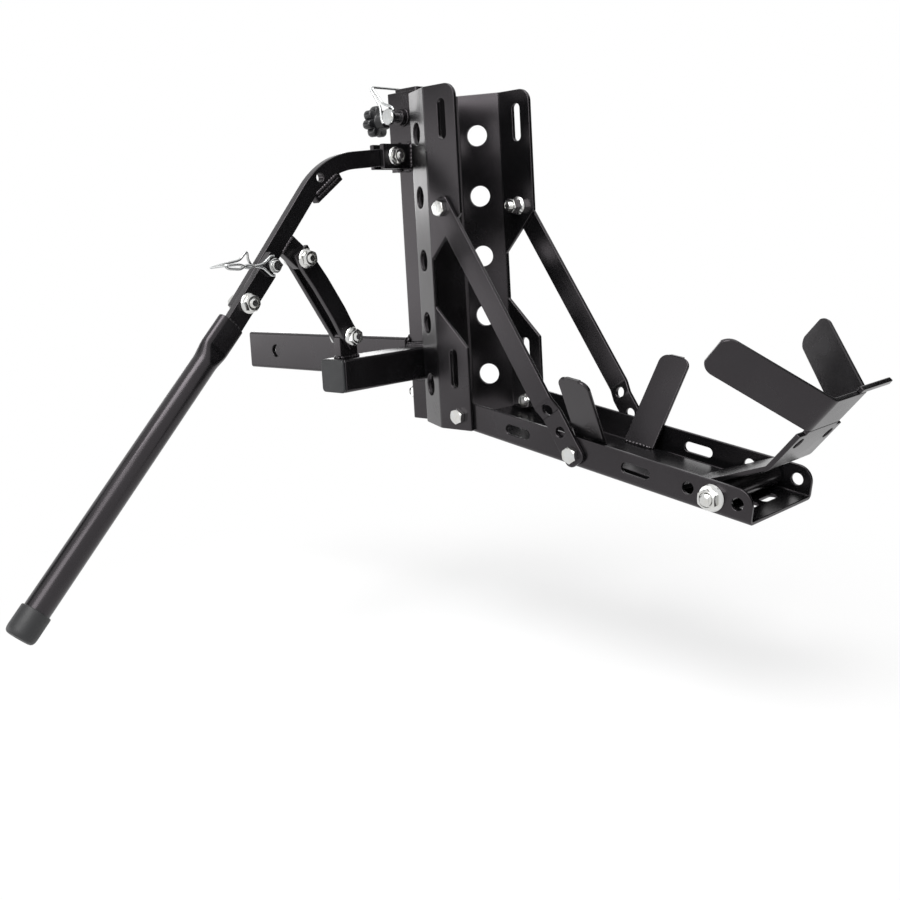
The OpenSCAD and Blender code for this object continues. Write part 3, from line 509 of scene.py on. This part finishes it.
# %% [markdown]
# ## Star knob
# The knob is moulded with seven lobes. The cosine of three and a half turns, taken
# without its sign, gives seven round lobes with narrow valleys between them.

# %% Knob, its screw and its weld nut
def lobes(scale):
    return lambda a: scale * (14.0 + 6.0 * abs(math.cos(3.5 * a)) ** 0.75)


bm = bmesh.new()
hub = [(0, 4.6), (0, 9.0), (0.8, 9.8), (10.5, 10.0), (12.2, 11.5)]
crown = [(12.6, lobes(0.88)), (13.6, lobes(0.96)), (15.4, lobes(1.0)), (22.6, lobes(1.0)),
         (24.6, lobes(0.96)), (25.8, lobes(0.87)), (26.0, lobes(0.76)), (25.8, 8.5), (25.2, 7.8), (25.2, 0.8)]
loft(bm, rounds(at(MX - 54, 0, knob_z, (-1, 0, 0)), hub + crown, 112))
done("star_knob_moulded", bm, "star_knob", 50)
bm = bmesh.new()
shank(bm, at(MX - 66, 0, knob_z, (1, 0, 0)), M10[0], 46.5, 44, M10[3], [(0, 0.0)])
done("knob_screw_turned", bm, "knob_screw")
bm = bmesh.new()
hex_block(bm, at(MX - 25.4, 0, knob_z, (-1, 0, 0), 30), 18, 0, 10, M10[0] / 2 + bore_gap)
done("knob_nut_cut", bm, "knob_nut")

# %% [markdown]
# ## Pins
# Both pins are turned from bar: a head or collar with broken edges, a plain shank
# and a tapered tip that finds its hole.

# %% Lock pin and snap pin
lock_profile = [(0, 0.0), (0, 8.2), (0.5, 9.1), (1.2, 9.5), (4.2, 9.5), (4.8, 9.2), (5, 8.6), (5, 6.6),
                (5.6, 6.0), (88.6, 6.0), (91.0, 4.4), (91.4, 3.6), (91.4, 0.0)]
snap_profile = [(0, 0.0), (0, 5.2), (0.6, 5.9), (0.9, 6.0), (3.0, 6.0), (3.2, 6.2), (3.2, 7.2), (3.8, 8.0),
                (8.6, 8.0), (9.2, 7.4), (9.2, 4.0), (35.2, 4.0), (36.8, 2.9), (36.8, 0.0)]
bm = bmesh.new()
turned(bm, at(MX, -51, lock_z, (0, 1, 0)), lock_profile, steps=48)
done("lock_pin_turned", bm, "lock_pin")
bm = bmesh.new()
turned(bm, at(MX + 23.8, *snap_spot, (-1, 0, 0)), snap_profile, steps=48)
done("snap_pin_turned", bm, "snap_pin")

# %% [markdown]
# ## Wire
# Wire is bent along a path. Each corner of the path is replaced by a short curve,
# and a ring is laid across the path at every step. Each ring keeps the direction
# of the one before, so that the wire doesn't twist.

# %% Wire bender
def rounded(path, bend):
    pts = [Vector(p) for p in path]
    out = [pts[0]]
    for before, corner, after in zip(pts, pts[1:], pts[2:]):
        cut = min(bend, 0.45 * (before - corner).length, 0.45 * (after - corner).length)
        a = corner + (before - corner).normalized() * cut
        b = corner + (after - corner).normalized() * cut
        for i in range(9):
            t = i / 8
            out.append((1 - t) ** 2 * a + 2 * t * (1 - t) * corner + t * t * b)
    return out + [pts[-1]]


def wire(bm, path, d=3.0, bend=5.0, radius=None):
    pts = rounded(path, bend) if bend else [Vector(p) for p in path]
    ways = [(b - a).normalized() for a, b in zip(pts, pts[1:])]
    ways = [ways[0]] + [(a + b).normalized() for a, b in zip(ways, ways[1:])] + [ways[-1]]
    side = ways[0].orthogonal().normalized()
    rings = []
    for i, (p, way) in enumerate(zip(pts, ways)):
        side = (side - way * side.dot(way)).normalized()
        other = way.cross(side)
        r = radius(i, len(pts)) if radius else d / 2
        rings.append([(p + r * (side * math.cos(a) + other * math.sin(a))) / 1000
                      for a in (2 * math.pi * k / 14 for k in range(14))])
    loft(bm, rings)


print("wire bender ready")

# %% [markdown]
# ## Wire bails
# The bails are bent from 3 mm spring wire. Two legs grip the head of a pin, run
# together, and one of them crosses over to the far end of the pin.

# %% Bend the bails
lock_turn, snap_turn = math.radians(127), math.radians(178)


def lock_wire(t, e, y):
    c, s = math.cos(lock_turn), math.sin(lock_turn)
    return MX + t * c + e * s, y, lock_z + t * s - e * c


def snap_wire(t, e, x):
    c, s = math.cos(snap_turn), math.sin(snap_turn)
    return x, snap_spot[0] + t * c + e * s, snap_spot[1] + t * s - e * c


def bail(node, spot, near, legs, far):
    # spot gives a point from (along the bail, across it, along the pin axis)
    bm = bmesh.new()
    reach = far[0][0]
    one = [(t, e, near) for t, e in legs] + [(reach, 1.7, near)] + far
    two = [(t, -e, near) for t, e in legs] + [(reach - 3, -1.7, near), (reach, 0.4, near)]
    wire(bm, [spot(*p) for p in one], bend=4)
    wire(bm, [spot(*p) for p in two], bend=3)
    done(node + "_bent", bm, node, 60)


bail("lock_pin_bail", lock_wire, -48.5, [(0, 11.6), (5, 11.6), (18, 3.0)], [(46, 0, 36.4), (8.1, 0, 36.4)])
snap_legs = [(0, 10.1), (4.5, 10.1), (15, 1.8), (36, -1.7), (44, 2.6)]
snap_hook = [(t, e, MX - 11) for t, e in ((62, 0), (24, 7), (14, 17), (13, 6.5), (7.5, 0))]
bail("snap_pin_bail", snap_wire, MX + 17.6, snap_legs, snap_hook)

# %% [markdown]
# ## Handle tube and foot cap
# The tube is round, and its upper end is pressed flat around the handle bar. The
# rings change from a flat oval to a circle over 22 mm with a smooth step, as
# pressed steel does. The cap is a rubber cup with a rounded foot.

# %% Press the tube and mould the cap
slope = math.radians(45.4)
down = Vector((0, -math.cos(slope), -math.sin(slope)))
across = Vector((0, -math.sin(slope), math.cos(slope)))
root = Vector((MX + 9.8, *handle_hinge)) + 1.6 * across
flat_t, flat_w, tube_r = 15.0, 32.9, 13.2
press_end, press_length = 60, 22


def tube_ring(z, inset, segments=48):
    k = smooth_step((z - press_end) / press_length)
    spots = []
    for i in range(segments):
        a = 2 * math.pi * (i + 0.5) / segments
        t = flat_t / 2 - inset
        long = math.copysign((flat_w - flat_t) / 2, math.sin(a))
        flat = Vector((t * math.cos(a), t * math.sin(a) + long))
        disc = Vector((math.cos(a), math.sin(a))) * (tube_r - inset)
        p = flat.lerp(disc, k)
        spots.append((root + Vector((p.x, 0, 0)) + across * p.y + down * z) / 1000)
    return spots


# each ring of the tube is (distance from the hinge, inset from its outside)
inside = [(62, 2.5), (45, 2.5), (29.6, 2.5), (29.1, 2.1), (29.0, 1.6)]
lip = [(29.0, 0.7), (29.2, 0.3), (29.7, 0.0), (45, 0.0)]
outside = [(press_end + 1.1 * i, 0.0) for i in range(21)] + [(120, 0), (240, 0), (388, 0)]
bm = bmesh.new()
loft(bm, [tube_ring(z, inset) for z, inset in inside + lip + outside])
done("handle_tube_pressed", bm, "handle_tube")
cap_profile = [(380, 13.25), (366.4, 13.3), (366, 13.7), (366.1, 14.6), (366.6, 15.1), (368, 15.2),
               (387, 15.2), (390, 14.9), (392.2, 14.0), (393.5, 12.4), (394, 10.4), (394, 6.0),
               (393.6, 5.2), (393.6, 0.0)]
bm = bmesh.new()
turned(bm, at(*root, down), cap_profile, steps=64)
done("foot_cap_moulded", bm, "foot_cap")

# %% [markdown]
# ## Weld beads
# Where two pieces are welded, a bead fills the corner. A bead is a thick wire whose
# radius swells at each drop of metal, about every 4 mm, and thins at its ends. It
# is coated like the rest. About half of each bead lies inside the steel.

# %% Bead layer
step_mm, drop_mm = 0.8, 4.4


def bead(bm, start, stop, size):
    a, b = Vector(start), Vector(stop)
    n = max(6, int((b - a).length / step_mm))
    aside = (b - a).orthogonal().normalized() * size * 0.15
    path = [a.lerp(b, i / n) + aside * math.sin(1.3 * i) for i in range(n + 1)]

    def lumps(i, count):
        swell = 0.74 + 0.26 * abs(math.sin(i * step_mm * math.pi / drop_mm))
        return size * swell * min(1.0, 0.55 + 0.15 * min(i, count - 1 - i))

    wire(bm, path, bend=0, radius=lumps)


def bead_ring(bm, centre, one, two, r, size):
    path = [Vector(centre) + r * (Vector(one) * math.cos(a) + Vector(two) * math.sin(a))
            for a in (2 * math.pi * i / 80 for i in range(81))]
    wire(bm, path, bend=0, radius=lambda i, count: size * (0.86 + 0.14 * abs(math.sin(i * math.pi / 4))))


def welds(name, body, lines, rings=()):
    bm = bmesh.new()
    for start, stop, size in lines:
        bead(bm, start, stop, size)
    for ring in rings:
        bead_ring(bm, *ring)
    bmesh.ops.recalc_face_normals(bm, faces=bm.faces[:])
    obj = piece(name, bm, body, "black_coat", 60, weld_coat)
    print(name, len(lines), "straight beads", len(obj.data.polygons), "faces")


print("bead layer ready")

# %% [markdown]
# ## Beads on the frame and the sleeve
# The hitch bar is welded to the mast all round, and the stub to the mast above,
# below and behind. The sleeve carries the cradle plate, the clevis, the bush of
# the lock pin and the weld nut of the knob.

# %% Beads on square tubes
both = (-1, 1)
# hitch bar to mast: two upright beads, one above and one below
on_frame = [((MX - 18.2, k * 20.0, -25), (MX - 18.2, k * 20.0, 25), 3.0) for k in both]
on_frame += [((MX - 20.0, -18, k * 26.2), (MX - 20.0, 18, k * 26.2), 3.0) for k in both]
# stub to mast: above and below, a second run above, and one upright
on_frame += [((MX - 17, -20.0, z), (MX + 18, -20.0, z), 4.4) for z in (16.4, -24.4)]
on_frame += [((MX - 16, -25.0, 15.2), (MX + 16, -24.6, 15.2), 3.8)]
on_frame += [((MX + 18.3, -19.4, -22), (MX + 18.3, -19.4, 14), 2.6)]
# link bracket to stub, round its foot
on_frame += [((MX + k * 6.0, -152, 15.9), (MX + k * 6.0, -125, 15.9), 3.0) for k in both]
on_frame += [((MX - 5, y, 15.9), (MX + 5, y, 15.9), 2.4) for y in (-152.3, -124.7)]
welds("frame_welds", "hitch_frame", on_frame)
# cradle plate to sleeve, then the clevis plates with their upper and lower ends
on_sleeve = [((MX + 24.4, k * 26.3, 230), (MX + 24.4, k * 26.3, 313), 2.9) for k in both]
on_sleeve += [((MX + k * 12.6, -26.4, 230), (MX + k * 12.6, -26.4, 258), 3.4) for k in both]
on_sleeve += [((MX + k * 5.5, -26.4, z), (MX + k * 13, -26.4, z), 3.0) for k in both for z in (229, 259)]
bush_ring = ((MX, -26.0, lock_z), (1, 0, 0), (0, 0, 1), 10.0, 1.3)
nut_ring = ((MX - 26.0, 0, knob_z), (0, 1, 0), (0, 0, 1), 10.3, 1.8)
welds("sleeve_welds", "carriage", on_sleeve, [bush_ring, nut_ring])

# %% [markdown]
# ## Beads on the lever, the handle and the chock
# The link tab stands below the straight part of the lever, and the rest pad lies
# across the inside of its bend. Places there are worked out along the bar.

# %% Beads on bent bars
lever_slope, pad_slope = math.radians(49), math.radians(34.7)
bend_centre = (-104.5, 139.74)


def along_bar(start, turn, x, along, out):
    c, s = math.cos(turn), math.sin(turn)
    return MX + x, start[0] + along * c - out * s, start[1] + along * s + out * c


on_lever = [(along_bar(handle_hinge, lever_slope, k * 4.5, 74.5, -10.2),
             along_bar(handle_hinge, lever_slope, k * 4.5, 98.1, -10.2), 2.0) for k in both]
on_lever += [(along_bar(bend_centre, pad_slope, k * 4.4, -19, out),
              along_bar(bend_centre, pad_slope, k * 4.4, 19, out), size)
             for k in both for out, size in ((88.6, 2.8), (84.2, 2.2))]
welds("lever_welds", "lever", on_lever)
mouth = [(root + down * 28.8 + across * k)[1:] for k in (-10.0, 9.0)]
on_handle = [([MX + x, *mouth[0]], [MX + x, *mouth[1]], 1.7) for x in (4.6, 15.0)]
welds("handle_welds", "handle", on_handle)
tab_ends = [tray_spot(s, -5.4) for s in (157, 191)]
on_chock = [tuple((x, k * 36.3, z) for x, z in tab_ends) + (2.4,) for k in both]
welds("chock_welds", "chock", on_chock)

# %% [markdown]
# ## Camera
# The camera stands behind the carrier on the lever side, a little above the tray
# and tilted. Its place was worked out from straight tubes of known size.

# %% Camera at the photograph's angle
stand = (1.2469, -0.9733, 0.1522)
right = Vector((0.7146, 0.6973, -0.0569))
up = Vector((-0.0382, 0.1200, 0.9920))
view = Vector((-0.6986, 0.7067, -0.1123))
scene = bpy.context.scene
cam = bpy.data.objects.new("camera", bpy.data.cameras.new("camera"))
scene.collection.objects.link(cam)
cam.matrix_world = Matrix.Translation(stand) @ Matrix((right, up, -view)).transposed().to_4x4()
cam.data.sensor_width = 36
cam.data.lens = 44.38
cam.data.shift_x = 0.0183
cam.data.shift_y = -0.1021
scene.camera = cam
print("camera at", stand)

# %% [markdown]
# ## Studio
# Black gloss is drawn by what it reflects. The world is white to the camera and to
# reflections, and two dark cards that the camera doesn't see keep some faces black,
# as black velvet does in a photo studio. The floor lies low enough for the folded
# handle to hang free, and fades to white away from the part.

# %% Stage tools
scene.view_settings.view_transform = "Standard"


def stage_grid(name, size, matrix, mat):
    bm = bmesh.new()
    bmesh.ops.create_grid(bm, x_segments=1, y_segments=1, size=size, matrix=matrix)
    mesh = bpy.data.meshes.new(name)
    bm.to_mesh(mesh)
    bm.free()
    mesh.materials.append(mat)
    obj = bpy.data.objects.new(name, mesh)
    scene.collection.objects.link(obj)
    return obj


def seen_directly(tree):
    # 1 for what the camera, a mirror or glass shows, and 0 for the light on the part
    rays = add(tree, "ShaderNodeLightPath").outputs
    seen = rays["Is Camera Ray"]
    for kind in ("Is Glossy Ray", "Is Transmission Ray"):
        seen = add(tree, "ShaderNodeMath", links={0: seen, 1: rays[kind]}, operation="MAXIMUM").outputs[0]
    return seen


def blend(tree, share, one, two, output):
    mix = add(tree, "ShaderNodeMixShader", links={0: share, 1: one.outputs[0], 2: two.outputs[0]})
    tree.links.new(mix.outputs[0], tree.nodes[output].inputs["Surface"])


print("stage tools ready")

# %% [markdown]
# ## Floor and cards
# The floor is whitest far from the part, where it meets the white world, and it
# keeps a faint shadow below the part.

# %% Floor and cards
floor_drop = 0.13
low = cad_box[0].z - floor_drop
mat, tree, shader = new_material("pale_floor")
shader.inputs["Base Color"].default_value = paint("#f4f4f4")
shader.inputs["Roughness"].default_value = 0.9
place = add(tree, "ShaderNodeTexCoord").outputs["Object"]
away = add(tree, "ShaderNodeVectorMath", {1: (0.4, -0.05, low)}, {0: place}, operation="DISTANCE")
fade = spread(tree, away.outputs["Value"], 0.55, 1.0, 0.2, 0.72, interpolation_type="SMOOTHSTEP")
share = add(tree, "ShaderNodeMath", links={0: fade, 1: seen_directly(tree)}, operation="MULTIPLY")
glow = add(tree, "ShaderNodeEmission", {"Color": paint("#ffffff"), "Strength": 1.0})
blend(tree, share.outputs[0], shader, glow, "Material Output")
stage_grid("floor", 6.0, Matrix.Translation((0.3, 0.0, low)), mat)
velvet, tree, shader = new_material("black_velvet")
shader.inputs["Base Color"].default_value = paint("#050505")
shader.inputs["Roughness"].default_value = 1.0
camera_ray = add(tree, "ShaderNodeLightPath").outputs["Is Camera Ray"]
blend(tree, camera_ray, shader, add(tree, "ShaderNodeBsdfTransparent"), "Material Output")
part_middle = Vector((0.4, 0, 0.1))


def card(name, spot, size):
    turn = (part_middle - Vector(spot)).to_track_quat("Z", "Y").to_matrix().to_4x4()
    return stage_grid(name, size, Matrix.Translation(spot) @ turn, velvet)


card("card_rear", (1.4, 1.0, 0.15), 0.85)
card("card_left", (-1.2, -1.6, 1.08), 0.5)
print("floor at", round(low, 3), "with two dark cards")

# %% [markdown]
# ## Lamps
# Four soft boxes light the part: one beside the camera, one overhead that gives the
# handle tube its streak, a low one that the side faces mirror, and one behind that
# draws the upper faces.

# %% Lamps and world
def lamp(name, place, target, size, power):
    data = bpy.data.lights.new(name, "AREA")
    data.shape = "RECTANGLE"
    data.size, data.size_y = size
    data.energy = power
    obj = bpy.data.objects.new(name, data)
    scene.collection.objects.link(obj)
    obj.location = place
    obj.rotation_euler = (Vector(target) - Vector(place)).to_track_quat("-Z", "Y").to_euler()
    return obj


lamp("key", (1.1, -1.9, 1.0), (0.35, 0, 0.1), (1.2, 1.2), 22)
lamp("top", (0.75, -1.0, 2.1), (0.3, -0.1, 0), (1.2, 1.2), 38)
lamp("side", (-1.3, -1.8, 0.12), (0.35, 0, 0.05), (2.2, 0.66), 7)
lamp("back", (-1.75, 1.3, 0.6), (0.35, 0, 0.05), (2.4, 0.8), 14)
world = bpy.data.worlds.new("studio")
scene.world = world
world.use_nodes = True
tree = world.node_tree
fill = tree.nodes["Background"]
fill.inputs["Color"].default_value = paint("#ffffff")
fill.inputs["Strength"].default_value = 0.6
white = add(tree, "ShaderNodeBackground", {"Color": paint("#ffffff"), "Strength": 1.0})
blend(tree, seen_directly(tree), fill, white, "World Output")
print("studio ready")
